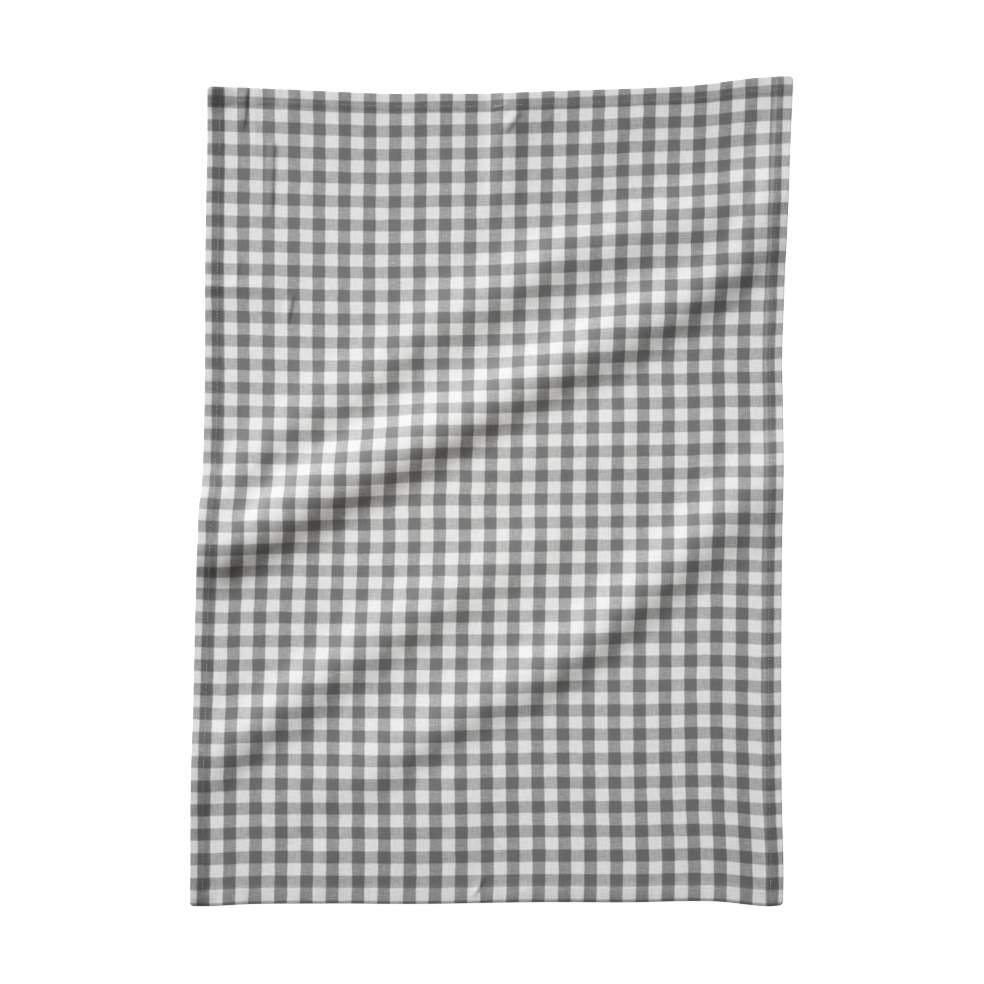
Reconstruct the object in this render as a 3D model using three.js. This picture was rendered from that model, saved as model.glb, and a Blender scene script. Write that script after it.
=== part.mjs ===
// A cotton tea towel that lies on a table, not quite smoothed out: soft folds run slantwise across
// it, and between them the cloth touches the table. All four sides have a turned hem.
// Millimetres, +Z up. The origin is on the table, at the middle of the box that the towel fills.
import * as THREE from "three";

// The towel as it was cut and hemmed, before it was laid down.
const FLAT_WIDTH = 500;
const FLAT_LENGTH = 700;
const CLOTH_THICKNESS = 1.2;
const HEM_THICKNESS = 2.2;
const HEM_WIDTH = 12;
const HEM_SHOULDER = 1.5;

// The box that the towel lies in, seen from above. It is wider than the towel, which lies askew.
const LAID_WIDTH = 508;
const LAID_LENGTH = 699;

// Cells of the cloth between the hems. The folds are steeper along the towel than across it.
const CELLS_ACROSS = 30;
const CELLS_ALONG = 76;

// Each edge, from the bottom or the left, and how far it is drawn in from the box's side there.
const LEFT_EDGE = [
  { at: 0, drawnIn: 0 },
  { at: 90, drawnIn: 0.6 },
  { at: 140, drawnIn: 2 },
  { at: 200, drawnIn: 3.3 },
  { at: 270, drawnIn: 5.2 },
  { at: 295, drawnIn: 7.2 },
  { at: 315, drawnIn: 8.4 },
  { at: 340, drawnIn: 8.8 },
  { at: 362, drawnIn: 10.4 },
  { at: 390, drawnIn: 11.2 },
  { at: 430, drawnIn: 12.2 },
  { at: 535, drawnIn: 12.8 },
  { at: 600, drawnIn: 13.5 },
  { at: 640, drawnIn: 14.4 },
  { at: 700, drawnIn: 14.8 },
];
const RIGHT_EDGE = [
  { at: 0, drawnIn: 8.4 },
  { at: 30, drawnIn: 8 },
  { at: 90, drawnIn: 9.4 },
  { at: 160, drawnIn: 9.9 },
  { at: 340, drawnIn: 9 },
  { at: 420, drawnIn: 8.4 },
  { at: 460, drawnIn: 9.2 },
  { at: 510, drawnIn: 7.6 },
  { at: 630, drawnIn: 3.2 },
  { at: 680, drawnIn: 0.6 },
  { at: 700, drawnIn: 0 },
];
const BOTTOM_EDGE = [
  { at: 0, drawnIn: 0 },
  { at: 20, drawnIn: 0.2 },
  { at: 45, drawnIn: 1.6 },
  { at: 110, drawnIn: 2.3 },
  { at: 200, drawnIn: 2 },
  { at: 285, drawnIn: 3.4 },
  { at: 370, drawnIn: 3.3 },
  { at: 445, drawnIn: 4 },
  { at: 470, drawnIn: 1.4 },
  { at: 486, drawnIn: 0 },
  { at: 500, drawnIn: 1 },
];
const TOP_EDGE = [
  { at: 0, drawnIn: 8.6 },
  { at: 70, drawnIn: 11.2 },
  { at: 115, drawnIn: 13.4 },
  { at: 155, drawnIn: 14.8 },
  { at: 185, drawnIn: 14.6 },
  { at: 245, drawnIn: 14.6 },
  { at: 295, drawnIn: 12.6 },
  { at: 380, drawnIn: 9.8 },
  { at: 415, drawnIn: 8 },
  { at: 465, drawnIn: 1.8 },
  { at: 490, drawnIn: 0.2 },
  { at: 500, drawnIn: 0 },
];

// The folds, from the top one down, each with its stations across the towel: the place of the crest
// along the towel, how far it rises, and how far its upper and lower flanks reach from the crest.
const TOP_FOLD = [
  { across: 0, crest: 342, rise: 4, upper: 46, lower: 38 },
  { across: 20, crest: 353, rise: 4.8, upper: 52, lower: 36 },
  { across: 40, crest: 372, rise: 4.6, upper: 66, lower: 46 },
  { across: 60, crest: 400, rise: 3.9, upper: 50, lower: 43 },
  { across: 90, crest: 424.5, rise: 3.4, upper: 48, lower: 44 },
  { across: 150, crest: 466, rise: 4, upper: 50, lower: 44 },
  { across: 185, crest: 496, rise: 4.4, upper: 48, lower: 46 },
  { across: 220, crest: 514, rise: 4.6, upper: 48, lower: 46 },
  { across: 290, crest: 550, rise: 5.2, upper: 46, lower: 46 },
  { across: 350, crest: 572, rise: 5.2, upper: 42, lower: 49 },
  { across: 390, crest: 579.5, rise: 5.5, upper: 41, lower: 59 },
  { across: 430, crest: 585, rise: 5.7, upper: 51, lower: 62 },
  { across: 450, crest: 588.5, rise: 5.3, upper: 50, lower: 52 },
  { across: 465, crest: 592, rise: 4.6, upper: 66, lower: 42 },
  { across: 480, crest: 598, rise: 3.2, upper: 92, lower: 42 },
  { across: 500, crest: 606, rise: 2.6, upper: 110, lower: 42 },
];
const MAIN_FOLD = [
  { across: 0, crest: 306, rise: 14.4, upper: 72, lower: 50 },
  { across: 20, crest: 311, rise: 14.2, upper: 57, lower: 58 },
  { across: 40, crest: 318.5, rise: 13.6, upper: 53, lower: 60 },
  { across: 60, crest: 329.5, rise: 13.2, upper: 59, lower: 62 },
  { across: 100, crest: 354.5, rise: 13.1, upper: 60, lower: 61 },
  { across: 150, crest: 381.5, rise: 11.4, upper: 60, lower: 55 },
  { across: 210, crest: 411.5, rise: 11, upper: 58, lower: 55 },
  { across: 270, crest: 443, rise: 9.6, upper: 51, lower: 49 },
  { across: 330, crest: 473, rise: 9.2, upper: 53, lower: 51 },
  { across: 380, crest: 498.5, rise: 8.4, upper: 56, lower: 51 },
  { across: 430, crest: 525.5, rise: 7.2, upper: 46, lower: 50 },
  { across: 450, crest: 538, rise: 6.7, upper: 48, lower: 48 },
  { across: 465, crest: 548, rise: 6.3, upper: 64, lower: 46 },
  { across: 480, crest: 558, rise: 5.8, upper: 100, lower: 46 },
  { across: 500, crest: 568, rise: 5.2, upper: 115, lower: 46 },
];
const LEFT_FOLD = [
  { across: 0, crest: 122, rise: 3.6, upper: 54, lower: 90 },
  { across: 20, crest: 131, rise: 4.6, upper: 48, lower: 60 },
  { across: 40, crest: 143, rise: 5.4, upper: 44, lower: 48 },
  { across: 90, crest: 178, rise: 6.2, upper: 48, lower: 46 },
  { across: 140, crest: 217, rise: 5.6, upper: 50, lower: 46 },
  { across: 200, crest: 255, rise: 4.8, upper: 52, lower: 44 },
  { across: 250, crest: 283.5, rise: 3.2, upper: 52, lower: 42 },
  { across: 290, crest: 307, rise: 1.7, upper: 50, lower: 40 },
  { across: 335, crest: 334, rise: 0, upper: 46, lower: 40 },
];
const RIGHT_FOLD = [
  { across: 50, crest: 66, rise: 0, upper: 44, lower: 44 },
  { across: 90, crest: 90, rise: 1.6, upper: 50, lower: 44 },
  { across: 140, crest: 112, rise: 3.6, upper: 54, lower: 46 },
  { across: 200, crest: 147, rise: 5.6, upper: 52, lower: 44 },
  { across: 260, crest: 180, rise: 6.2, upper: 46, lower: 42 },
  { across: 310, crest: 207.5, rise: 6.8, upper: 54, lower: 47 },
  { across: 350, crest: 238.5, rise: 7, upper: 60, lower: 50 },
  { across: 410, crest: 291, rise: 7.4, upper: 62, lower: 57 },
  { across: 460, crest: 338, rise: 7.6, upper: 62, lower: 68 },
  { across: 500, crest: 363, rise: 6.6, upper: 64, lower: 72 },
];
const LOW_FOLD = [
  { across: 80, crest: 14, rise: 0, upper: 60, lower: 34 },
  { across: 140, crest: 42, rise: 1.6, upper: 60, lower: 44 },
  { across: 190, crest: 68, rise: 2, upper: 64, lower: 60 },
  { across: 240, crest: 97, rise: 1.6, upper: 64, lower: 70 },
  { across: 300, crest: 122, rise: 0, upper: 60, lower: 70 },
];
const FOLDS = [TOP_FOLD, MAIN_FOLD, LEFT_FOLD, RIGHT_FOLD, LOW_FOLD];

// One column of a table as a smooth function of another, level beyond the table's ends.
function smoothColumn(rows, from, to) {
  const places = rows.map((row) => row[from]);
  const values = rows.map((row) => row[to]);
  const curve = new THREE.CubicInterpolant(places, values, 1);
  return (place) => curve.evaluate(place)[0];
}

const drawnInLeft = smoothColumn(LEFT_EDGE, "at", "drawnIn");
const drawnInRight = smoothColumn(RIGHT_EDGE, "at", "drawnIn");
const drawnInBottom = smoothColumn(BOTTOM_EDGE, "at", "drawnIn");
const drawnInTop = smoothColumn(TOP_EDGE, "at", "drawnIn");
const foldCurves = FOLDS.map((rows) => ({
  crest: smoothColumn(rows, "across", "crest"),
  rise: smoothColumn(rows, "across", "rise"),
  upper: smoothColumn(rows, "across", "upper"),
  lower: smoothColumn(rows, "across", "lower"),
}));

// A rounded ridge of height 1 that runs out level at a distance of 1 on both sides.
const ridge = (distance) => Math.max(0, 1 - distance ** 2) ** 3;

// Height of the cloth's underside above the table, at a place on the flat cloth.
function lift(across, along) {
  return foldCurves.reduce((height, fold) => {
    const offset = along - fold.crest(across);
    const reach = offset > 0 ? fold.upper(across) : fold.lower(across);
    return height + fold.rise(across) * ridge(offset / reach);
  }, 0);
}

// Grid lines from one hemmed edge to the other: the hems, their shoulders and the cloth between.
function gridLines(length, cells) {
  const inner = HEM_WIDTH + HEM_SHOULDER;
  const hemLines = [0, HEM_WIDTH];
  const field = Array.from({ length: cells + 1 }, (_, i) => inner + ((length - 2 * inner) * i) / cells);
  return [...hemLines, ...field, ...hemLines.map((line) => length - line).reverse()];
}

// Shares of the way along a row of cloth points, seen from above. Yarn keeps its length, so a step
// that climbs covers less ground.
function groundShares(lines, heights) {
  const sums = [0];
  for (let i = 1; i < lines.length; i += 1) {
    const step = lines[i] - lines[i - 1];
    const climb = heights[i] - heights[i - 1];
    sums.push(sums[i - 1] + Math.sqrt(Math.max(0, step ** 2 - climb ** 2)));
  }
  return sums.map((sum) => sum / sums[sums.length - 1]);
}

function clothThickness(across, along) {
  const toEdge = Math.min(across, FLAT_WIDTH - across, along, FLAT_LENGTH - along);
  return toEdge <= HEM_WIDTH ? HEM_THICKNESS : CLOTH_THICKNESS;
}

// The towel as one closed sheet: underside points, top points above them, and a wall at the edge.
function towelGeometry() {
  const acrossLines = gridLines(FLAT_WIDTH, CELLS_ACROSS);
  const alongLines = gridLines(FLAT_LENGTH, CELLS_ALONG);
  const columns = acrossLines.length;
  const rows = alongLines.length;
  const heights = alongLines.map((along) => acrossLines.map((across) => lift(across, along)));
  const rowShares = heights.map((row) => groundShares(acrossLines, row));
  const columnShares = acrossLines.map((_, i) => groundShares(alongLines, heights.map((row) => row[i])));

  const groundPoint = (i, j) => {
    const left = -LAID_WIDTH / 2 + drawnInLeft(alongLines[j]);
    const right = LAID_WIDTH / 2 - drawnInRight(alongLines[j]);
    const bottom = -LAID_LENGTH / 2 + drawnInBottom(acrossLines[i]);
    const top = LAID_LENGTH / 2 - drawnInTop(acrossLines[i]);
    return [
      THREE.MathUtils.lerp(left, right, rowShares[j][i]),
      THREE.MathUtils.lerp(bottom, top, columnShares[i][j]),
    ];
  };

  const underside = [];
  const topside = [];
  for (let j = 0; j < rows; j += 1) {
    for (let i = 0; i < columns; i += 1) {
      const ground = groundPoint(i, j);
      const height = heights[j][i];
      underside.push(...ground, height);
      topside.push(...ground, height + clothThickness(acrossLines[i], alongLines[j]));
    }
  }

  const count = columns * rows;
  const triangles = [];
  // Each cell is split along the diagonal that climbs to the right, as the folds do.
  for (let j = 0; j < rows - 1; j += 1) {
    for (let i = 0; i < columns - 1; i += 1) {
      const a = j * columns + i;
      const b = a + 1;
      const c = b + columns;
      const d = a + columns;
      triangles.push(a, c, b, a, d, c);
      triangles.push(count + a, count + b, count + c, count + a, count + c, count + d);
    }
  }
  // The rim, anticlockwise from the bottom left corner as seen from above.
  const rim = [];
  for (let i = 0; i < columns - 1; i += 1) rim.push(i);
  for (let j = 0; j < rows - 1; j += 1) rim.push(j * columns + columns - 1);
  for (let i = columns - 1; i > 0; i -= 1) rim.push((rows - 1) * columns + i);
  for (let j = rows - 1; j > 0; j -= 1) rim.push(j * columns);
  rim.forEach((here, i) => {
    const next = rim[(i + 1) % rim.length];
    triangles.push(here, next, count + next, here, count + next, count + here);
  });

  const geometry = new THREE.BufferGeometry();
  geometry.setAttribute("position", new THREE.Float32BufferAttribute([...underside, ...topside], 3));
  geometry.setIndex(triangles);
  geometry.computeVertexNormals();
  return geometry;
}

// Yarn-dyed cotton in an even grey and white check, which reads as a mid grey from far off.
const ginghamCotton = new THREE.MeshStandardMaterial({ color: 0xa8a8a6, roughness: 0.95, metalness: 0 });

const towelCloth = new THREE.Mesh(towelGeometry(), ginghamCotton);
towelCloth.name = "towel_cloth";

const teaTowel = new THREE.Group();
teaTowel.add(towelCloth);

export default teaTowel;
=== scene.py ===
# %% [markdown]
# # A gingham tea towel
#
# The real towel is one rectangle of grey and white cotton, hemmed on all four sides and laid on a table.
# It was not quite smoothed out, so soft folds run slantwise across it. This lesson rebuilds it in Blender
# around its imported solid: first the shape of the laid cloth, then its hems and stitches, then the woven
# cotton, and last the light and the camera.

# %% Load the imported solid
import bpy
import numpy as np
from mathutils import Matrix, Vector


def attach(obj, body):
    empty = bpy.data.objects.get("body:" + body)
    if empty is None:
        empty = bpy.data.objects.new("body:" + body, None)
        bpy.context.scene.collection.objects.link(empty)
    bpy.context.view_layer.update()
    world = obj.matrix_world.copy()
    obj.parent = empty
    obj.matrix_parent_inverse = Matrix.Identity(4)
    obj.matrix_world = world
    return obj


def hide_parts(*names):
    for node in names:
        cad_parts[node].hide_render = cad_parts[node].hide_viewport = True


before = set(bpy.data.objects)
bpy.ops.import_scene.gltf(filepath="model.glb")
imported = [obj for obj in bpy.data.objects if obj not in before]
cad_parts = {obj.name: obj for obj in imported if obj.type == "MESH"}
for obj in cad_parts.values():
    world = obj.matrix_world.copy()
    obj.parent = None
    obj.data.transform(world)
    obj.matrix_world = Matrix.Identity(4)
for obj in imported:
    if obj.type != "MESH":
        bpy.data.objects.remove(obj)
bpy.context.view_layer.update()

# %% [markdown]
# ## The towel before it was laid down
#
# Cloth is easiest to think of flat. Every place on the towel has two numbers: how far it is across the flat
# cloth from the left edge, and how far along it from the bottom edge. All shapes below are functions of
# these two numbers, in millimetres, and only the finished meshes are turned to Blender's metres.

# %% Sizes of the flat towel and of the box it lies in
MM = 0.001
FLAT_WIDTH = 500.0
FLAT_LENGTH = 700.0
LAID_WIDTH = 508.0
LAID_LENGTH = 699.0
print("flat towel", FLAT_WIDTH, "x", FLAT_LENGTH, "mm")

# %% [markdown]
# ## The outline on the table
#
# The towel lies a little askew and its edges wander. Each edge is a short table: at a distance along the
# edge, how far it is drawn in from the straight side of the box. A smooth curve runs through each table, the
# same curve as in the solid: a cubic piece between two stations, whose slope at a station is the mean of the
# slopes of the straight lines to both sides of it.

# %% Edge tables
EDGES = {
    "left": {
        "at": [0, 90, 140, 200, 270, 295, 315, 340, 362, 390, 430, 535, 600, 640, 700],
        "drawn_in": [0, 0.6, 2, 3.3, 5.2, 7.2, 8.4, 8.8, 10.4, 11.2, 12.2, 12.8, 13.5, 14.4, 14.8],
    },
    "right": {
        "at": [0, 30, 90, 160, 340, 420, 460, 510, 630, 680, 700],
        "drawn_in": [8.4, 8, 9.4, 9.9, 9, 8.4, 9.2, 7.6, 3.2, 0.6, 0],
    },
    "bottom": {
        "at": [0, 20, 45, 110, 200, 285, 370, 445, 470, 486, 500],
        "drawn_in": [0, 0.2, 1.6, 2.3, 2, 3.4, 3.3, 4, 1.4, 0, 1],
    },
    "top": {
        "at": [0, 70, 115, 155, 185, 245, 295, 380, 415, 465, 490, 500],
        "drawn_in": [8.6, 11.2, 13.4, 14.8, 14.6, 14.6, 12.6, 9.8, 8, 1.8, 0.2, 0],
    },
}


def smooth_column(places, values, x):
    """A smooth curve through a table, level beyond its ends.

    Between two stations it is the cubic that meets both values with the stations' slopes. A station's slope
    is the mean of the chords to its two sides, and an end station takes the slope of its only chord.
    """
    places, values = np.array(places, float), np.array(values, float)
    chord = np.diff(values) / np.diff(places)
    slope = np.concatenate([chord[:1], (chord[:-1] + chord[1:]) / 2, chord[-1:]])
    x = np.clip(x, places[0], places[-1])
    i = np.clip(np.searchsorted(places, x, "right") - 1, 0, len(places) - 2)
    gap = places[i + 1] - places[i]
    p = (x - places[i]) / gap
    start = (1 + 2 * p) * (1 - p) ** 2 * values[i] + p * (1 - p) ** 2 * gap * slope[i]
    end = p**2 * (3 - 2 * p) * values[i + 1] + p**2 * (p - 1) * gap * slope[i + 1]
    return start + end


def drawn_in(edge, at):
    """How far an edge is drawn in from its side of the box."""
    return smooth_column(EDGES[edge]["at"], EDGES[edge]["drawn_in"], at)


print({edge: float(max(table["drawn_in"])) for edge, table in EDGES.items()}, "mm drawn in at most")

# %% [markdown]
# ## The soft folds
#
# Where the cloth was pushed together it stands up in long rounded ridges. A simulation would make folds of
# its own choosing, so these are listed instead: for stations across the towel, where the crest is along it,
# how high it rises, and how far the flanks reach above and below the crest.

# %% Fold tables and the height of the folds
FOLDS = {
    "top": {
        "across": [0, 20, 40, 60, 90, 150, 185, 220, 290, 350, 390, 430, 450, 465, 480, 500],
        "crest": [342, 353, 372, 400, 424.5, 466, 496, 514, 550, 572, 579.5, 585, 588.5, 592, 598, 606],
        "rise": [4, 4.8, 4.6, 3.9, 3.4, 4, 4.4, 4.6, 5.2, 5.2, 5.5, 5.7, 5.3, 4.6, 3.2, 2.6],
        "upper": [46, 52, 66, 50, 48, 50, 48, 48, 46, 42, 41, 51, 50, 66, 92, 110],
        "lower": [38, 36, 46, 43, 44, 44, 46, 46, 46, 49, 59, 62, 52, 42, 42, 42],
    },
    "main": {
        "across": [0, 20, 40, 60, 100, 150, 210, 270, 330, 380, 430, 450, 465, 480, 500],
        "crest": [306, 311, 318.5, 329.5, 354.5, 381.5, 411.5, 443, 473, 498.5, 525.5, 538, 548, 558, 568],
        "rise": [14.4, 14.2, 13.6, 13.2, 13.1, 11.4, 11, 9.6, 9.2, 8.4, 7.2, 6.7, 6.3, 5.8, 5.2],
        "upper": [72, 57, 53, 59, 60, 60, 58, 51, 53, 56, 46, 48, 64, 100, 115],
        "lower": [50, 58, 60, 62, 61, 55, 55, 49, 51, 51, 50, 48, 46, 46, 46],
    },
    "left": {
        "across": [0, 20, 40, 90, 140, 200, 250, 290, 335],
        "crest": [122, 131, 143, 178, 217, 255, 283.5, 307, 334],
        "rise": [3.6, 4.6, 5.4, 6.2, 5.6, 4.8, 3.2, 1.7, 0],
        "upper": [54, 48, 44, 48, 50, 52, 52, 50, 46],
        "lower": [90, 60, 48, 46, 46, 44, 42, 40, 40],
    },
    "right": {
        "across": [50, 90, 140, 200, 260, 310, 350, 410, 460, 500],
        "crest": [66, 90, 112, 147, 180, 207.5, 238.5, 291, 338, 363],
        "rise": [0, 1.6, 3.6, 5.6, 6.2, 6.8, 7, 7.4, 7.6, 6.6],
        "upper": [44, 50, 54, 52, 46, 54, 60, 62, 62, 64],
        "lower": [44, 44, 46, 44, 42, 47, 50, 57, 68, 72],
    },
    "low": {
        "across": [80, 140, 190, 240, 300],
        "crest": [14, 42, 68, 97, 122],
        "rise": [0, 1.6, 2, 1.6, 0],
        "upper": [60, 60, 64, 64, 60],
        "lower": [34, 44, 60, 70, 70],
    },
}


def ridge(distance):
    """A rounded ridge: 1 minus the distance squared, cubed, so it runs out level at a distance of 1."""
    return np.maximum(0, 1 - distance**2) ** 3


def fold_height(across, along):
    """Height of the folds: the sum of all ridges, each as wide and high as its table says there."""
    height = np.zeros(np.broadcast(across, along).shape)
    for fold in FOLDS.values():
        crest, rise, upper, lower = (
            smooth_column(fold["across"], fold[column], across)
            for column in ("crest", "rise", "upper", "lower")
        )
        offset = along - crest
        height += rise * ridge(offset / np.where(offset > 0, upper, lower))
    return height


trial_across = np.linspace(0, FLAT_WIDTH, 101)
trial_along = np.linspace(0, FLAT_LENGTH, 141)[:, None]
print("highest fold", fold_height(trial_across, trial_along).max().round(1), "mm")

# %% [markdown]
# ## Creases and unevenness
#
# Small creases are left from how the towel was folded and packed: a ridge down from the middle of the top
# hem, short lines near the left hem, wrinkles where a hem puckers. Each is a straight soft ridge of its own
# length, with a flank on either side, that fades out over a quarter of its length at each end. Seen along the
# line from start to end, left and right are its two flanks. Besides, no cloth is quite even, so slight waves
# run all over it.

# %% Crease table and its height
CREASES = [
    # start across, start along, end across, end along, rise, left flank, right flank
    (252.8, 590, 252.4, 716, 1.9, 18, 34),
    (252.5, 663, 267, 685, 0.9, 9, 5.5),
    (257, 648, 257, 716, 0.7, 20, 30),
    (287, 673, 299, 683, 0.5, 3, 3),
    (242, 685.5, 259, 690, 0.3, 2.5, 2.2),
    (242, 680.5, 258, 685.5, 0.3, 2.5, 2.2),
    (31.2, 662, 35.4, 706, 1.0, 9, 2.6),
    (56.4, 590, 57.8, 662, 1.0, 9, 4),
    (53, 593, 60, 603, 0.5, 2.5, 2.5),
    (-16, 530.5, 64, 530.5, 0.9, 7, 10),
    (-20, 531, 80, 531, 1.4, 60, 34),
    (71, 498, 76.5, 527, 0.9, 8, 2.4),
    (26.7, 532, 30, 557, 0.5, 4, 3),
    (190, 385, 490, 381, 1.9, 72, 36),
    (237, 4, 250, 25, 0.8, 5, 3),
    (114.5, 630, 114.5, 716, 0.6, 16, 13),
    (41, 630, 41, 716, 0.35, 7, 7),
    (-12, 262, 22, 262.5, 0.55, 3, 2),
    (-200, 703, 700, 703, 1.3, 20, 58),
]
FADE_SHARE = 0.25


def smooth_step(start, end, x):
    """From 0 at start to 1 at end, level at both: 3 p squared minus 2 p cubed."""
    p = np.clip((x - start) / (end - start), 0, 1)
    return p**2 * (3 - 2 * p)


def crease_height(across, along):
    """Height of all creases: each is a ridge by distance from its line, times a fade towards its ends."""
    height = np.zeros(np.broadcast(across, along).shape)
    for from_x, from_y, to_x, to_y, rise, left, right in CREASES:
        length = np.hypot(to_x - from_x, to_y - from_y)
        run_x, run_y = (to_x - from_x) / length, (to_y - from_y) / length
        share = ((across - from_x) * run_x + (along - from_y) * run_y) / length
        side = (along - from_y) * run_x - (across - from_x) * run_y
        fade = smooth_step(0, FADE_SHARE, np.minimum(share, 1 - share))
        height += rise * fade * ridge(side / np.where(side > 0, left, right))
    return height


print(len(CREASES), "creases, adding", crease_height(trial_across, trial_along).max().round(1), "mm at most")

# %% Slight waves
WAVE_COUNT = 48
WAVE_LENGTHS = (22, 80)
WAVE_STEEPNESS = 0.0011


def unevenness(across, along):
    """Slight waves all over the cloth: many small sine waves of random direction, length and phase."""
    rng = np.random.default_rng(7)
    height = np.zeros(np.broadcast(across, along).shape)
    for _ in range(WAVE_COUNT):
        turn, phase = rng.uniform(0, 2 * np.pi, 2)
        length = rng.uniform(*WAVE_LENGTHS)
        wave = (across * np.cos(turn) + along * np.sin(turn)) / length
        height += WAVE_STEEPNESS * length * np.sin(2 * np.pi * wave + phase)
    return height


print("waves up to", unevenness(trial_across, trial_along).max().round(2), "mm")

# %% [markdown]
# ## The grid of the sheet
#
# The cloth is one grid of lines across and along it. Cells are small where the shape changes quickly: at the
# rounded edge, at the step inside each hem, and where the narrow creases run. Elsewhere a few millimetres are
# enough, because the folds are soft.

# %% Grid lines
HEM_LINES = np.array([0, 0.12, 0.4, 0.9, 1.7, 3, 5, 7, 9, 10.4, 11.4, 12.2, 13, 13.8, 14.8, 16.2, 18])
FIELD_STEP = 3.8
CREASE_STEP = 1.2
FINE_POINTS = 4001


def grid_lines(length, creased):
    """Lines from edge to edge: hem lines at both ends, between them steps that are shorter where creased.

    The steps are counted along a fine row of points, and the lines stand where the count is a whole number.
    """
    fine = np.linspace(HEM_LINES[-1], length - HEM_LINES[-1], FINE_POINTS)
    step = np.full(fine.shape, FIELD_STEP)
    for low, high in creased:
        step[(fine > low) & (fine < high)] = CREASE_STEP
    steps_so_far = np.concatenate([[0], np.cumsum(np.diff(fine) / step[1:])])
    count = int(round(steps_so_far[-1]))
    field = np.interp(np.linspace(0, steps_so_far[-1], count + 1), steps_so_far, fine)
    return np.concatenate([HEM_LINES[:-1], field, length - HEM_LINES[-2::-1]])


across_lines = grid_lines(FLAT_WIDTH, creased=[(24, 80), (240, 273)])
along_lines = grid_lines(FLAT_LENGTH, creased=[(518, 534), (662, 682)])
across, along = np.meshgrid(across_lines, along_lines)
print("grid of", len(across_lines), "by", len(along_lines), "lines")

# %% [markdown]
# ## Laying the grid on the table
#
# The table cuts the slight waves off from below, and cloth that lies flat on it keeps only half of them. Yarn
# hardly stretches: where the cloth climbs a fold, a millimetre of yarn covers less than a millimetre of table.
# So each row of the grid is spread between the left and right edges, and each column between the bottom and
# top edges, in shares of the ground that its steps cover.

# %% Height of every grid point
WAVE_CUT = 0.25
FLAT_WAVES = 0.5
FREE_LIFT = 1.0
folds = fold_height(across, along)
lift = folds + crease_height(across, along)
waves_kept = np.clip(FLAT_WAVES + (1 - FLAT_WAVES) * lift / FREE_LIFT, 0, 1)
lift += np.maximum(0, unevenness(across, along) + WAVE_CUT) * waves_kept
print("lift up to", lift.max().round(1), "mm")


# %% Place of every grid point on the table
def ground_shares(lines, heights, axis):
    """Share of the way along each grid line: the running sum of the steps' ground lengths over its total."""
    step = np.diff(lines)
    step = step if axis == 1 else step[:, None]
    climb = np.diff(heights, axis=axis)
    ground = np.sqrt(np.maximum(0, step**2 - climb**2))
    sums = np.insert(np.cumsum(ground, axis=axis), 0, 0, axis=axis)
    return sums / np.take(sums, [-1], axis=axis)


left = -LAID_WIDTH / 2 + drawn_in("left", along_lines)[:, None]
right = LAID_WIDTH / 2 - drawn_in("right", along_lines)[:, None]
bottom = -LAID_LENGTH / 2 + drawn_in("bottom", across_lines)
top = LAID_LENGTH / 2 - drawn_in("top", across_lines)
table_x = left + (right - left) * ground_shares(across_lines, folds, axis=1)
table_y = bottom + (top - bottom) * ground_shares(along_lines, folds, axis=0)
print("laid towel", np.ptp(table_x).round(1), "x", np.ptp(table_y).round(1), "mm")

# %% [markdown]
# ## Rounded corners
#
# A hem's corner is folded, so it is slightly round. The small square at each corner is drawn to a quarter of
# a disc: a point keeps its direction from the square's inner corner, and its distance is divided so that the
# square's outer sides come to lie on the circle.

# %% Corners
CORNER_RADIUS = 3.5
NEVER_ZERO = 1e-9
from_side_x = np.minimum(across, FLAT_WIDTH - across)
from_side_y = np.minimum(along, FLAT_LENGTH - along)
out_x = np.clip(1 - from_side_x / CORNER_RADIUS, 0, 1)
out_y = np.clip(1 - from_side_y / CORNER_RADIUS, 0, 1)
drawn_by = 1 - np.maximum(out_x, out_y) / np.maximum(np.hypot(out_x, out_y), NEVER_ZERO)
drawn_by = np.where((out_x > 0) & (out_y > 0), drawn_by, 0)
table_x -= np.sign(across - FLAT_WIDTH / 2) * drawn_by * out_x * CORNER_RADIUS
table_y -= np.sign(along - FLAT_LENGTH / 2) * drawn_by * out_y * CORNER_RADIUS
print("corners drawn in by up to", (drawn_by * CORNER_RADIUS).max().round(2), "mm")

# %% [markdown]
# ## Hems
#
# Each edge is turned twice and stitched down, so the hem is three layers of cloth, and a corner is more. The
# upper face steps down from the hem to the single cloth over a few millimetres, and the outer edge is a round
# fold. The hem on the right was pressed least, so it stands highest. Sewing draws a hem up a little, which
# leaves small puckers along it. The hem is one with the cloth, so it is only a change of the sheet's
# thickness here.

# %% Hems and their puckers
HEM_WIDTH = 12.8
HEM_SHOULDER = 3.5
PUCKER = 0.12
PUCKER_DRIFT = 2


def in_hem(from_side):
    """1 inside a hem and 0 beyond its shoulder."""
    return 1 - smooth_step(HEM_WIDTH, HEM_WIDTH + HEM_SHOULDER, from_side)


def puckers(place, spacing, drift_length):
    """Small waves along a hem: a sine of the given spacing, whose phase drifts by a slow sine."""
    return PUCKER * np.sin(2 * np.pi * place / spacing + PUCKER_DRIFT * np.sin(place / drift_length))


hem_x, hem_y = in_hem(from_side_x), in_hem(from_side_y)
pucker = puckers(along, spacing=17, drift_length=41) * hem_x
pucker += puckers(across, spacing=15, drift_length=37) * hem_y
print("puckers of", np.ptp(pucker).round(2), "mm from dip to top")

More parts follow.
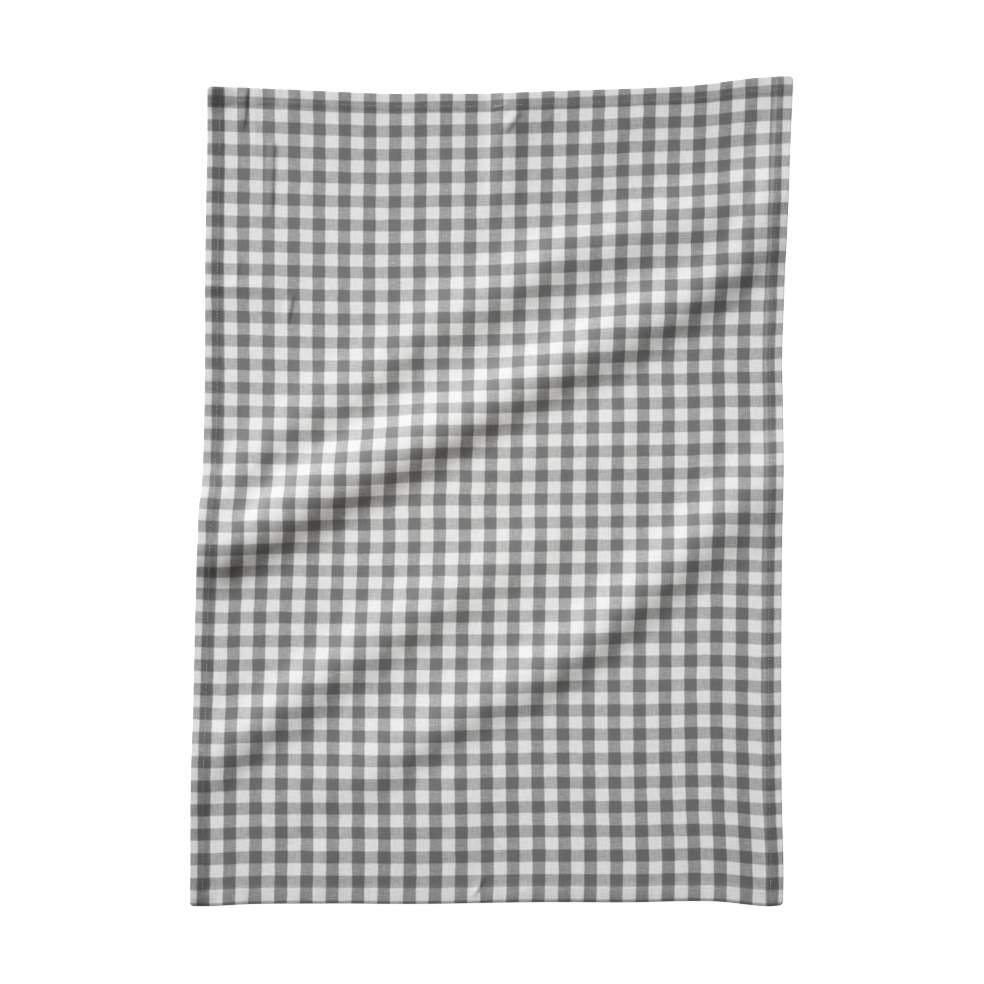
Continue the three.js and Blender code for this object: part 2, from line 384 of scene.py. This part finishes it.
# %% Thickness of the sheet
CLOTH = 0.6
HEM_STEP = {"left": 0.4, "right": 0.9, "bottom": 0.5, "top": 0.45}
CORNER_PRESSED = 0.45
EDGE_ROUND = 0.9
step_x = np.where(across < FLAT_WIDTH / 2, HEM_STEP["left"], HEM_STEP["right"])
step_y = np.where(along < FLAT_LENGTH / 2, HEM_STEP["bottom"], HEM_STEP["top"])
pressed = CORNER_PRESSED * np.minimum(step_x, step_y) * hem_x * hem_y
thickness = CLOTH + step_x * hem_x + step_y * hem_y - pressed + pucker
from_edge = np.minimum(from_side_x, from_side_y)
round_share = np.sqrt(1 - np.clip(1 - from_edge / EDGE_ROUND, 0, 1) ** 2)
middle = lift + thickness / 2
upper_face = middle + thickness / 2 * round_share
lower_face = middle - thickness / 2 * round_share
print("thickness from", thickness.min().round(2), "to", thickness.max().round(2), "mm")

# %% [markdown]
# ## The sheet as a mesh
#
# The upper and the lower face are the same grid, and they share the points of the rim. So the sheet is
# closed, with a round edge and no seam. Whole arrays go into the mesh at once, which is much faster than a
# loop.


# %% Mesh helper
def mesh_object(name, points_mm, faces):
    """An object from an array of points in millimetres and one of faces that all have as many corners."""
    mesh = bpy.data.meshes.new(name)
    mesh.vertices.add(len(points_mm))
    mesh.vertices.foreach_set("co", (points_mm * MM).ravel())
    mesh.loops.add(faces.size)
    mesh.loops.foreach_set("vertex_index", faces.ravel())
    mesh.polygons.add(len(faces))
    mesh.polygons.foreach_set("loop_start", np.arange(0, faces.size, faces.shape[1]))
    mesh.update(calc_edges=True)
    mesh.validate()
    mesh.shade_smooth()
    made = bpy.data.objects.new(name, mesh)
    bpy.context.scene.collection.objects.link(made)
    return made


# %% The sheet
def grid_faces(index):
    """The four-cornered faces of a grid of point numbers, anticlockwise seen from above."""
    corners = [index[:-1, :-1], index[:-1, 1:], index[1:, 1:], index[1:, :-1]]
    return np.stack(corners, axis=-1).reshape(-1, 4)


inner = (slice(1, -1), slice(1, -1))
upper_index = np.arange(across.size).reshape(across.shape)
lower_index = upper_index.copy()
inner_count = lower_index[inner].size
lower_index[inner] = across.size + np.arange(inner_count).reshape(lower_index[inner].shape)
upper_points = np.stack([table_x, table_y, upper_face], axis=-1).reshape(-1, 3)
lower_points = np.stack([table_x, table_y, lower_face], axis=-1)[inner].reshape(-1, 3)
sheet_points = np.concatenate([upper_points, lower_points])
sheet_faces = np.concatenate([grid_faces(upper_index), grid_faces(lower_index)[:, ::-1]])
towel = mesh_object("tea_towel", sheet_points, sheet_faces)
print(towel.name, 2 * len(sheet_faces), "triangles")

# %% [markdown]
# ## Weave coordinates
#
# The sheet carries its flat place as a UV map, in metres. The weft was beaten in a little looser towards the
# bottom, so the rows are counted along a slightly bent scale. The cloth was tugged when it was laid, so a
# table of soft pulls shifts the yarns a few millimetres. In a hem, the layer below is the same cloth
# mirrored at the fold, and a second UV map says which part of it that is.

# %% Place in the weave
ROWS = 34.49
ROW_PITCH = FLAT_LENGTH / ROWS
LOOSER = 0.23
TOWARDS_BOTTOM = 0.65
PULLS = [
    # place across, place along, reach across, reach along, shift across, shift along
    (30, 350, 90, 120, -1.7, 0),
    (250, 60, 400, 55, -1.2, 0),
    (490, 5, 90, 35, -1.6, 0),
    (270, 700, 320, 60, 2.0, 0),
    (65, 425, 75, 85, 0, 2.6),
    (50, 570, 85, 80, 0, 1.4),
    (380, 620, 40, 120, 0, -2.5),
    (260, 660, 50, 60, 0, -1.5),
    (215, 235, 70, 65, 0, -1.9),
    (370, 250, 35, 40, 0, -1.6),
    (195, 395, 40, 45, 0, -2.4),
    (475, 460, 35, 70, 0, 1.4),
]


def woven(along):
    """Place along the evenly woven cloth: the flat place minus a bulge of the row count.

    The bulge is a half sine of the share of the length, and a power below 1 moves it towards the bottom.
    """
    share = np.clip(np.abs(along) / FLAT_LENGTH, 0, 1)
    return along - LOOSER * ROW_PITCH * np.sin(np.pi * share**TOWARDS_BOTTOM)


def yarn_shift(across, along):
    """How far the yarns lie aside of an even weave, across and along: the sum of bell-shaped pulls."""
    shift = np.zeros((2, *across.shape))
    for at_x, at_y, reach_x, reach_y, shift_x, shift_y in PULLS:
        bell = np.exp(-(((across - at_x) / reach_x) ** 2 + ((along - at_y) / reach_y) ** 2) / 2)
        shift += np.array([shift_x, shift_y])[:, None, None] * bell
    return shift


shift_across, shift_along = yarn_shift(across, along)
print("rows of checks", ROWS, "of", round(ROW_PITCH, 2), "mm")


# %% UV maps
def mirrored(place, length):
    """The place folded under at a hem: the same distance beyond the edge."""
    return np.where(place < length / 2, -place, 2 * length - place)


def both_faces(grid):
    """A grid's values for the points of the upper face and then for the inner points of the lower face."""
    return np.concatenate([grid.reshape(across.size, -1), grid[inner].reshape(inner_count, -1)])


def add_uv(made, name, u_mm, v_mm):
    """A UV map in metres of cloth."""
    uv = both_faces(np.stack([u_mm, v_mm], axis=-1)) * MM
    made.data.uv_layers.new(name=name).data.foreach_set("uv", uv[sheet_faces.ravel()].ravel())


under_across = np.where(hem_x > 0.5, mirrored(across, FLAT_WIDTH), across)
under_along = np.where(hem_y > 0.5, mirrored(along, FLAT_LENGTH), along)
add_uv(towel, "weave", across + shift_across, woven(along) + shift_along)
add_uv(towel, "under", under_across, woven(under_along))
print("UV maps", [layer.name for layer in towel.data.uv_layers])

# %% [markdown]
# ## Shade of the hems, partly painted
#
# A hem looks darker than the single cloth, and not equally all along: the side hems change between the bottom
# and the top, and a few spots, most of them at corners, are darker still. Much of this is painted shade, for
# the light falling off towards the edges and corners. An attribute carries that shade to the material.

# %% Hem shade attribute, with painted shade
# painted shade towards the side edges, together with the hems' own darkening
SIDE_HEM_AND_PAINTED_SHADE = {
    # shade below, shade above, and the stretch along the side where it changes
    "left": (0.19, 0.26, 340, 420),
    "right": (0.13, 0.09, 120, 400),
}
# painted shade towards the ends, together with the hems' own darkening
END_HEM_AND_PAINTED_SHADE = {"bottom": 0.10, "top": 0.08}
# spots of painted shade, most of them at corners
PAINTED_SHADE_SPOTS = [
    # place across, place along, reach across, reach along, depth of the painted shade
    (12.5, 689, 15, 14, 0.2),
    (478, 32, 40, 30, 0.07),
    (4, 18, 25, 24, 0.12),
    (330, 0, 110, 12, 0.08),
]
left_shade, right_shade = (
    low + (high - low) * smooth_step(start, end, along) for low, high, start, end in SIDE_HEM_AND_PAINTED_SHADE.values()
)
hem_and_painted_shade = np.where(across < FLAT_WIDTH / 2, left_shade, right_shade) * hem_x
hem_and_painted_shade += np.where(along < FLAT_LENGTH / 2, END_HEM_AND_PAINTED_SHADE["bottom"], END_HEM_AND_PAINTED_SHADE["top"]) * hem_y
for at_x, at_y, reach_x, reach_y, depth in PAINTED_SHADE_SPOTS:
    # full depth of painted shade around the place, and none from its reach on
    near = np.maximum(0, 1 - ((across - at_x) / reach_x) ** 2 - ((along - at_y) / reach_y) ** 2)
    hem_and_painted_shade += depth * np.minimum(1, 2 * near)
# the attribute holds the hems' darkening and the painted shade
shade_attribute = towel.data.attributes.new("hem_and_painted_shade", "FLOAT", "POINT")
shade_attribute.data.foreach_set("value", both_faces(hem_and_painted_shade).ravel())
print("hems darker by up to", hem_and_painted_shade.max().round(2))

# %% [markdown]
# ## Stitches
#
# A lockstitch in light grey thread holds each hem. From above it is a dashed line of small threads that dip
# into the cloth at both ends. Each one is an ellipsoid of a few dozen faces. It lies in the surface of the
# cloth, some pulled in so tight that they hardly show, and its length, place and slant vary a little.

# %% Places of the stitches
STITCH_INSET = 11.0
STITCH_PITCH = 2.7


def stitch_line(length):
    """Places along one hem, a pitch apart, from one crossing hem's stitches to the other."""
    return np.arange(STITCH_INSET, length - STITCH_INSET, STITCH_PITCH)


side_line, end_line = stitch_line(FLAT_LENGTH), stitch_line(FLAT_WIDTH)
at_left, at_right = (np.full(len(side_line), u) for u in (STITCH_INSET, FLAT_WIDTH - STITCH_INSET))
at_bottom, at_top = (np.full(len(end_line), v) for v in (STITCH_INSET, FLAT_LENGTH - STITCH_INSET))
stitch_u = np.concatenate([at_left, at_right, end_line, end_line])
stitch_v = np.concatenate([side_line, side_line, at_bottom, at_top])
runs_along = np.arange(len(stitch_u)) < 2 * len(side_line)
print(len(stitch_u), "stitches")

# %% Direction of every stitch
# how much a stitch varies, in mm, and its length as a share
VARIES = {"along": 0.15, "aside": 0.12, "slant": 0.08, "length": 0.08, "depth": 0.08}
SLANT_REACH = 0.8


def on_cloth(u, v):
    """Point of the upper face at a flat place, read from the grid between its four neighbours."""
    i = np.clip(np.searchsorted(across_lines, u) - 1, 0, len(across_lines) - 2)
    j = np.clip(np.searchsorted(along_lines, v) - 1, 0, len(along_lines) - 2)
    p = ((u - across_lines[i]) / np.diff(across_lines)[i])[:, None]
    q = ((v - along_lines[j]) / np.diff(along_lines)[j])[:, None]
    grid = upper_points.reshape(*across.shape, 3)
    low = grid[j, i] * (1 - p) + grid[j, i + 1] * p
    high = grid[j + 1, i] * (1 - p) + grid[j + 1, i + 1] * p
    return low * (1 - q) + high * q


rng = np.random.default_rng(11)
jitter = rng.normal(0, 1, (len(stitch_u), len(VARIES)))
chance = dict(zip(VARIES, jitter.T[:, :, None]))
run = np.where(runs_along[:, None], [[0.0, 1.0]], [[1.0, 0.0]])
aside = run[:, ::-1]
centre_flat = np.stack([stitch_u, stitch_v], axis=1)
centre_flat += run * VARIES["along"] * chance["along"]
centre_flat += aside * VARIES["aside"] * chance["aside"]
half_run = run * SLANT_REACH + aside * VARIES["slant"] * chance["slant"]
centre = on_cloth(*centre_flat.T)
tangent = on_cloth(*(centre_flat + half_run).T) - on_cloth(*(centre_flat - half_run).T)
tangent /= np.linalg.norm(tangent, axis=1, keepdims=True)
sideways = np.cross([0.0, 0.0, 1.0], tangent)
sideways /= np.linalg.norm(sideways, axis=1, keepdims=True)
upwards = np.cross(tangent, sideways)
print("steepest stitch rises by", np.abs(tangent[:, 2]).max().round(2), "of its length")

# %% One stitch as an ellipsoid
STITCH_HALF = (0.95, 0.16, 0.16)
RINGS, ROUND = 5, 6
polar = np.linspace(0, np.pi, RINGS + 2)[1:-1, None]
turn = np.linspace(0, 2 * np.pi, ROUND, endpoint=False)[None, :]
ball = [np.cos(polar), np.sin(polar) * np.cos(turn), np.sin(polar) * np.sin(turn)]
ball = np.stack(np.broadcast_arrays(*ball), axis=-1).reshape(-1, 3)
ball = np.concatenate([ball, [[1, 0, 0], [-1, 0, 0]]]) * STITCH_HALF
ring = np.arange(RINGS * ROUND).reshape(RINGS, ROUND)
next_ring = np.roll(ring, -1, axis=1)
front_tip, back_tip = np.full(ROUND, RINGS * ROUND), np.full(ROUND, RINGS * ROUND + 1)
triangles = [
    (ring[:-1], ring[1:], next_ring[1:]),
    (ring[:-1], next_ring[1:], next_ring[:-1]),
    (front_tip, ring[0], next_ring[0]),
    (ring[-1], back_tip, next_ring[-1]),
]
ball_faces = np.concatenate([np.stack(corners, axis=-1).reshape(-1, 3) for corners in triangles])
print("a stitch has", len(ball_faces), "triangles")

# %% Mesh of the stitches
SUNK = 0.02
STANDS_OUT = 0.1
longer = 1 + VARIES["length"] * chance["length"]
sunk = np.maximum(-STANDS_OUT, SUNK + VARIES["depth"] * chance["depth"])
stitch_points = (
    centre[:, None]
    + (longer * ball[:, 0])[..., None] * tangent[:, None]
    + ball[:, 1, None] * sideways[:, None]
    + (ball[:, 2] - sunk)[..., None] * upwards[:, None]
)
stitch_faces = ball_faces + len(ball) * np.arange(len(stitch_u))[:, None, None]
stitches = mesh_object("hem_stitches", stitch_points.reshape(-1, 3), stitch_faces.reshape(-1, 3))
print(stitches.name, stitch_faces.size // 3, "triangles")

# %% [markdown]
# ## Colours and nodes
#
# Colours are written as they look on a screen, in sRGB hex, and one function turns them to the linear values
# that light is reckoned in. One small function adds a node, sets it up and links its inputs.


# %% Helpers for materials
def colour(hex_code):
    """Linear red, green, blue and 1 from an sRGB hex code."""
    srgb = np.array([int(hex_code[i : i + 2], 16) for i in (1, 3, 5)]) / 255
    linear = np.where(srgb <= 0.04045, srgb / 12.92, ((srgb + 0.055) / 1.055) ** 2.4)
    return (*linear.tolist(), 1.0)


def add_node(tree, kind, inputs=(), out=0, **settings):
    """Add a node with its settings, and give back one of its outputs.

    Each input is a value to set or an output to link. Inputs are a list in the order of the node's sockets,
    or a dictionary by the sockets' identifiers.
    """
    node = tree.nodes.new(kind)
    for name, value in settings.items():
        setattr(node, name, value)
    sockets = {socket.identifier: socket for socket in node.inputs}
    if not isinstance(inputs, dict):
        inputs = dict(zip(sockets, inputs))
    for name, value in inputs.items():
        if isinstance(value, bpy.types.NodeSocket):
            tree.links.new(value, sockets[name])
        else:
            sockets[name].default_value = value
    return node.outputs[out] if len(node.outputs) else node


def new_material(name):
    """An empty node material and its node tree."""
    material = bpy.data.materials.new(name)
    material.use_nodes = True
    material.node_tree.nodes.clear()
    return material, material.node_tree


# %% [markdown]
# ## Woven gingham cotton
#
# Gingham is a plain weave of dyed yarn: stripes of white and grey warp cross stripes of white and grey weft.
# That gives four kinds of square, white, two mid greys and dark grey. Wide soft waves along both directions,
# cut off steeply at their middle, give the stripes. The yarn wanders by up to half a millimetre to either
# side, so a slow noise bends them.

# %% Stripes of the check
COLUMNS = 23.05
COLUMN_PITCH = FLAT_WIDTH / COLUMNS
FIRST_ROW = 0.37
EDGE_SOFTNESS = 0.20
WANDER = 0.9 * MM
WANDER_SIZE = 14 * MM

gingham, tree = new_material("plain_woven_cotton_gingham")
weave = add_node(tree, "ShaderNodeUVMap", uv_map="weave")
under = add_node(tree, "ShaderNodeUVMap", uv_map="under")
# the hems' darkening and the painted shade, read from the sheet
hem_and_painted_shade_here = add_node(tree, "ShaderNodeAttribute", out=2, attribute_name="hem_and_painted_shade")
wander = add_node(
    tree,
    "ShaderNodeTexNoise",
    {"Vector": weave, "Scale": 1 / WANDER_SIZE, "Detail": 1.0},
    out=1,
    noise_dimensions="2D",
)


def dark_stripes(place):
    """How dark the warp (x) and the weft (y) are: a cosine along each, cut off steeply at zero."""
    turns = (2 * np.pi / (COLUMN_PITCH * MM), 2 * np.pi / (ROW_PITCH * MM), 0)
    start = (-WANDER / 2 * turns[0], -WANDER / 2 * turns[1] - 2 * np.pi * FIRST_ROW, 0)
    steps = [wander, (WANDER, WANDER, 0), place]
    wandered = add_node(tree, "ShaderNodeVectorMath", steps, operation="MULTIPLY_ADD")
    angle = add_node(tree, "ShaderNodeVectorMath", [wandered, turns, start], operation="MULTIPLY_ADD")
    wave = add_node(tree, "ShaderNodeVectorMath", [angle], operation="COSINE")
    split = add_node(tree, "ShaderNodeSeparateXYZ", [wave]).node
    return [
        add_node(
            tree,
            "ShaderNodeMapRange",
            {"Value": split.outputs[axis], "From Min": EDGE_SOFTNESS, "From Max": -EDGE_SOFTNESS},
            interpolation_type="SMOOTHSTEP",
        )
        for axis in (0, 1)
    ]


dark_warp, dark_weft = dark_stripes(weave)
under_warp, under_weft = dark_stripes(under)
print("check of", round(COLUMN_PITCH, 2), "x", round(ROW_PITCH, 2), "mm")

# %% Four colours of the squares
WHITE_SQUARE = colour("#e6e6e6")
DARK_WEFT_SQUARE = colour("#a2a2a2")
DARK_WARP_SQUARE = colour("#8a8a8a")
DARK_SQUARE = colour("#5d5d5e")
OF_COLOURS = {"out": 2, "data_type": "RGBA"}

over_white_warp = add_node(
    tree,
    "ShaderNodeMix",
    {"Factor_Float": dark_weft, "A_Color": WHITE_SQUARE, "B_Color": DARK_WEFT_SQUARE},
    **OF_COLOURS,
)
over_dark_warp = add_node(
    tree,
    "ShaderNodeMix",
    {"Factor_Float": dark_weft, "A_Color": DARK_WARP_SQUARE, "B_Color": DARK_SQUARE},
    **OF_COLOURS,
)
checks = add_node(
    tree,
    "ShaderNodeMix",
    {"Factor_Float": dark_warp, "A_Color": over_white_warp, "B_Color": over_dark_warp},
    **OF_COLOURS,
)
print("squares", WHITE_SQUARE[0], DARK_WEFT_SQUARE[0], DARK_WARP_SQUARE[0], DARK_SQUARE[0])

# %% [markdown]
# Spun cotton yarn is uneven: it runs thicker and thinner, which shows as short streaks along warp and weft,
# most of all where light yarn crosses dark. A few thick places, called slubs, show as light flecks where they
# cross dark yarn. The yarn is about 0.45 mm wide, too fine to show in the render, so it is drawn about twice
# as coarse.

# %% Yarn streaks
YARN = 0.9 * MM
STREAK = 11 * MM
STREAK_STRENGTH = 0.3
CROSSING_STRENGTH = 0.22


def yarn_noise(size_across, size_along):
    """A noise that is stretched over the given sizes in metres of cloth."""
    sizes = [weave, (1 / size_across, 1 / size_along, 0)]
    stretched = add_node(tree, "ShaderNodeVectorMath", sizes, operation="MULTIPLY")
    return add_node(
        tree,
        "ShaderNodeTexNoise",
        {"Vector": stretched, "Scale": 1.0, "Detail": 1.0},
        noise_dimensions="2D",
    )


warp_streak = yarn_noise(YARN, STREAK)
weft_streak = yarn_noise(STREAK, YARN)
unlike = add_node(tree, "ShaderNodeMath", [dark_warp, dark_weft], operation="SUBTRACT")
crossing = add_node(tree, "ShaderNodeMath", [unlike], operation="ABSOLUTE")
both_streaks = add_node(tree, "ShaderNodeMath", [warp_streak, weft_streak], operation="ADD")
streak = add_node(tree, "ShaderNodeMath", [both_streaks, 1.0], operation="SUBTRACT")
strengths = [crossing, CROSSING_STRENGTH, STREAK_STRENGTH]
strength = add_node(tree, "ShaderNodeMath", strengths, operation="MULTIPLY_ADD")
brighter = add_node(tree, "ShaderNodeMath", [streak, strength, 1.0], operation="MULTIPLY_ADD")
streaked = add_node(tree, "ShaderNodeVectorMath", {"Vector": checks, "Scale": brighter}, operation="SCALE")
print("streaks of", round(YARN / MM, 2), "x", round(STREAK / MM, 2), "mm")

# %% Slubs
SLUB_WIDTH = 1.2 * MM
SLUB_LENGTH = 5 * MM
SLUB_FROM, SLUB_TO = 0.64, 0.74
SLUB_STRENGTH = 0.16

slubs = []
for crossed, own, size in (
    (dark_warp, dark_weft, (SLUB_LENGTH, SLUB_WIDTH)),
    (dark_weft, dark_warp, (SLUB_WIDTH, SLUB_LENGTH)),
):
    thick_places = {"Value": yarn_noise(*size), "From Min": SLUB_FROM, "From Max": SLUB_TO}
    fleck = add_node(tree, "ShaderNodeMapRange", thick_places)
    light = add_node(tree, "ShaderNodeMath", [1.0, own], operation="SUBTRACT")
    shows = add_node(tree, "ShaderNodeMath", [crossed, light], operation="MULTIPLY")
    slubs.append(add_node(tree, "ShaderNodeMath", [shows, fleck], operation="MULTIPLY"))
slub = add_node(tree, "ShaderNodeMath", slubs, operation="ADD")
slub_share = add_node(tree, "ShaderNodeMath", [slub, SLUB_STRENGTH], operation="MULTIPLY")
slubbed = add_node(
    tree,
    "ShaderNodeMix",
    {"Factor_Float": slub_share, "A_Color": streaked, "B_Color": WHITE_SQUARE},
    **OF_COLOURS,
)
print("slubs of", round(SLUB_WIDTH / MM, 2), "x", round(SLUB_LENGTH / MM, 2), "mm")

# %% [markdown]
# A single cloth on a white table lets some of the table's white through. In the hems more cloth lies below,
# so they look darker, a little more where the layer below is dark. The same attribute also carries painted
# shade towards the edges and corners, which dims the colour there too.

# %% Hems look darker, and painted shade at edges and corners
SHADE_OVER_WHITE = 0.7
SHADE_OVER_DARK = 0.4
under_darkness = add_node(tree, "ShaderNodeMath", [under_warp, under_weft], operation="ADD")
shares = [under_darkness, SHADE_OVER_DARK, SHADE_OVER_WHITE]
shade_share = add_node(tree, "ShaderNodeMath", shares, operation="MULTIPLY_ADD")
# the hems' darkening and the painted shade dim the colour
dimmed = add_node(tree, "ShaderNodeMath", [hem_and_painted_shade_here, shade_share], operation="MULTIPLY")
undimmed = add_node(tree, "ShaderNodeMath", [1.0, dimmed], operation="SUBTRACT")
cloth_colour = add_node(
    tree, "ShaderNodeVectorMath", {"Vector": slubbed, "Scale": undimmed}, operation="SCALE"
)
print("hems have", SHADE_OVER_WHITE, "of their shade over white yarn")

# %% [markdown]
# Woven cotton is matte. Its yarns pass over and under each other, which gives it a fine relief, and loose
# fibre ends give it a faint sheen at low angles. The relief is a bump and not part of the mesh, because a
# yarn is much smaller than a cell of the grid.

# %% Surface of the cotton
STREAK_RELIEF = 1.2
INTERLACE_RELIEF = 0.25
RELIEF_HEIGHT = 0.12 * MM
yarn_turns = (np.pi / YARN, np.pi / YARN, 0)
yarn_angle = add_node(tree, "ShaderNodeVectorMath", [weave, yarn_turns], operation="MULTIPLY")
yarn_wave = add_node(tree, "ShaderNodeVectorMath", [yarn_angle], operation="SINE")
yarn_split = add_node(tree, "ShaderNodeSeparateXYZ", [yarn_wave]).node
interlace = add_node(tree, "ShaderNodeMath", yarn_split.outputs[:2], operation="MULTIPLY")
interlace_relief = add_node(tree, "ShaderNodeMath", [interlace, INTERLACE_RELIEF], operation="MULTIPLY")
reliefs = [streak, STREAK_RELIEF, interlace_relief]
relief = add_node(tree, "ShaderNodeMath", reliefs, operation="MULTIPLY_ADD")
bump = add_node(tree, "ShaderNodeBump", {"Height": relief, "Strength": 0.5, "Distance": RELIEF_HEIGHT})
cotton = add_node(
    tree,
    "ShaderNodeBsdfPrincipled",
    {
        "Base Color": cloth_colour,
        "Roughness": 0.6,
        "IOR": 1.53,
        "Sheen Weight": 0.05,
        "Sheen Roughness": 0.5,
        "Normal": bump,
    },
)
add_node(tree, "ShaderNodeOutputMaterial", {"Surface": cotton})
towel.data.materials.append(gingham)
print("gingham has", len(tree.nodes), "nodes")

# %% [markdown]
# ## Sewing thread
#
# The thread is twisted cotton, a little more matte than the cloth and without its sheen. A fine noise stands
# for its twist and fuzz. The real twist turns about every half millimetre, too fine to show in the render, so
# it is drawn about twice as coarse.

# %% Thread
TWIST = 1.2 * MM
TWIST_HEIGHT = 0.1 * MM
thread, tree = new_material("twisted_cotton_sewing_thread")
place = add_node(tree, "ShaderNodeTexCoord", out=3)
twist = add_node(tree, "ShaderNodeTexNoise", {"Vector": place, "Scale": 1 / TWIST, "Detail": 2.0})
thread_colour = add_node(
    tree,
    "ShaderNodeMix",
    {"Factor_Float": twist, "A_Color": colour("#9c9b9a"), "B_Color": colour("#c6c5c3")},
    **OF_COLOURS,
)
twist_bump = add_node(tree, "ShaderNodeBump", {"Height": twist, "Strength": 0.4, "Distance": TWIST_HEIGHT})
thread_surface = add_node(
    tree,
    "ShaderNodeBsdfPrincipled",
    {
        "Base Color": thread_colour,
        "Roughness": 0.75,
        "IOR": 1.53,
        "Specular IOR Level": 0.3,
        "Normal": twist_bump,
    },
)
add_node(tree, "ShaderNodeOutputMaterial", {"Surface": thread_surface})
stitches.data.materials.append(thread)
print("thread has", len(tree.nodes), "nodes")

# %% [markdown]
# ## Floor, light and camera
#
# The towel lies on a plain white floor that glows a little, so that it stays white all round. A soft lamp
# stands far off at the upper left, low enough to bring out the folds. A second lamp straight above fills
# their shadows. Both have a narrow beam, which dims the corners of the towel a little. The camera looks
# straight down from 1.8 m.

# %% Floor
FLOOR_HALF = 4000.0
FLOOR_BELOW = 0.2
floor_corners = np.array([[-1, -1, 0], [1, -1, 0], [1, 1, 0], [-1, 1, 0]]) * FLOOR_HALF
floor = mesh_object("floor", floor_corners - [0, 0, FLOOR_BELOW], np.array([[0, 1, 2, 3]]))
white_floor, tree = new_material("matte_white_floor")
floor_place = add_node(tree, "ShaderNodeTexCoord", out=3)
# clouds about a third of a metre wide, too faint to be seen as a pattern
floor_grain = add_node(tree, "ShaderNodeTexNoise", {"Vector": floor_place, "Scale": 3.0})
floor_colour = add_node(
    tree,
    "ShaderNodeMix",
    {"Factor_Float": floor_grain, "A_Color": colour("#f8f8f8"), "B_Color": colour("#fbfbfb")},
    **OF_COLOURS,
)
floor_surface = add_node(
    tree,
    "ShaderNodeBsdfPrincipled",
    {
        "Base Color": floor_colour,
        "Roughness": 0.9,
        "Specular IOR Level": 0.1,
        "Emission Color": colour("#ffffff"),
        "Emission Strength": 1.8,
    },
)
add_node(tree, "ShaderNodeOutputMaterial", {"Surface": floor_surface})
floor.data.materials.append(white_floor)
print("floor", 2 * FLOOR_HALF * MM, "m wide")

# %% Light
KEY_AZIMUTH = np.radians(135)
KEY_FROM_VERTICAL = np.radians(61.5)
LAMP_AIM = Vector((-0.02, 0.0, 0.0))
key_across, key_up = np.sin(KEY_FROM_VERTICAL), np.cos(KEY_FROM_VERTICAL)
towards_key = Vector((key_across * np.cos(KEY_AZIMUTH), key_across * np.sin(KEY_AZIMUTH), key_up))
overhead = Vector((0, 0, 1))


def add_lamp(name, towards, distance, size, spread, power, tint):
    """A round soft lamp that looks at the towel. Lengths are in metres, and the spread in degrees."""
    data = bpy.data.lights.new(name, "AREA")
    data.shape = "DISK"
    data.size = size
    data.spread = np.radians(spread)
    data.energy = power
    data.color = tint
    lamp = bpy.data.objects.new(name, data)
    lamp.location = LAMP_AIM + distance * towards
    lamp.rotation_euler = (-towards).to_track_quat("-Z", "Y").to_euler()
    bpy.context.scene.collection.objects.link(lamp)
    return lamp


key = add_lamp("soft_key", towards_key, distance=12, size=1.8, spread=25, power=60.5, tint=(0.98, 0.99, 1))
fill = add_lamp("soft_fill", overhead, distance=2.5, size=0.3, spread=17, power=0.205, tint=(1, 0.95, 0.88))
print("key lamp at", [round(x, 2) for x in key.location], "m, fill lamp at", round(fill.location.z, 2), "m")

# %% Light from all round
world = bpy.data.worlds.new("studio")
world.use_nodes = True
surroundings = world.node_tree.nodes["Background"]
surroundings.inputs["Color"].default_value = (1.0, 0.96, 0.9, 1)
surroundings.inputs["Strength"].default_value = 0.055
bpy.context.scene.world = world
print("surroundings of strength", round(surroundings.inputs["Strength"].default_value, 3))

# %% [markdown]
# ## Tone
#
# A camera does not show light in straight proportion: bright places are held back so that white cloth keeps
# its shading. The curve below does that. Each pair is the light on the sensor, where 1 is flat white cloth,
# and the brightness that it is shown with. From 1.9 on, all is white.

# %% Tone curve
TONE = [
    (0, 0),
    (0.3, 0.3),
    (0.4, 0.395),
    (0.5, 0.478),
    (0.6, 0.553),
    (0.7, 0.618),
    (0.85, 0.697),
    (1.0, 0.76),
    (1.2, 0.835),
    (1.41, 0.9),
    (1.6, 0.95),
    (1.9, 1),
]
view = bpy.context.scene.view_settings
view.view_transform = "Standard"
view.use_curve_mapping = True
full_white = TONE[-1][0]
view.curve_mapping.white_level = (full_white, full_white, full_white)
tone_curve = view.curve_mapping.curves[3]
for light, shown in TONE[1:-1]:
    tone_curve.points.new(light / full_white, shown)
view.curve_mapping.update()
print("tone curve of", len(tone_curve.points), "points")

# %% Camera
CAMERA_PLACE = (0.0005, -0.0006, 1.8)
FRAME_WIDTH = 0.8285
camera_data = bpy.data.cameras.new("camera")
camera_data.sensor_width = 36.0
camera_data.lens = camera_data.sensor_width * CAMERA_PLACE[2] / FRAME_WIDTH
camera = bpy.data.objects.new("camera", camera_data)
camera.location = CAMERA_PLACE
bpy.context.scene.collection.objects.link(camera)
bpy.context.scene.camera = camera
print("lens", round(camera_data.lens, 1), "mm")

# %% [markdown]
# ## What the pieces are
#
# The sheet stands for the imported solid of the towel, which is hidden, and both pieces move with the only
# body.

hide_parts("towel_cloth")
for piece in (towel, stitches):
    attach(piece, "root")
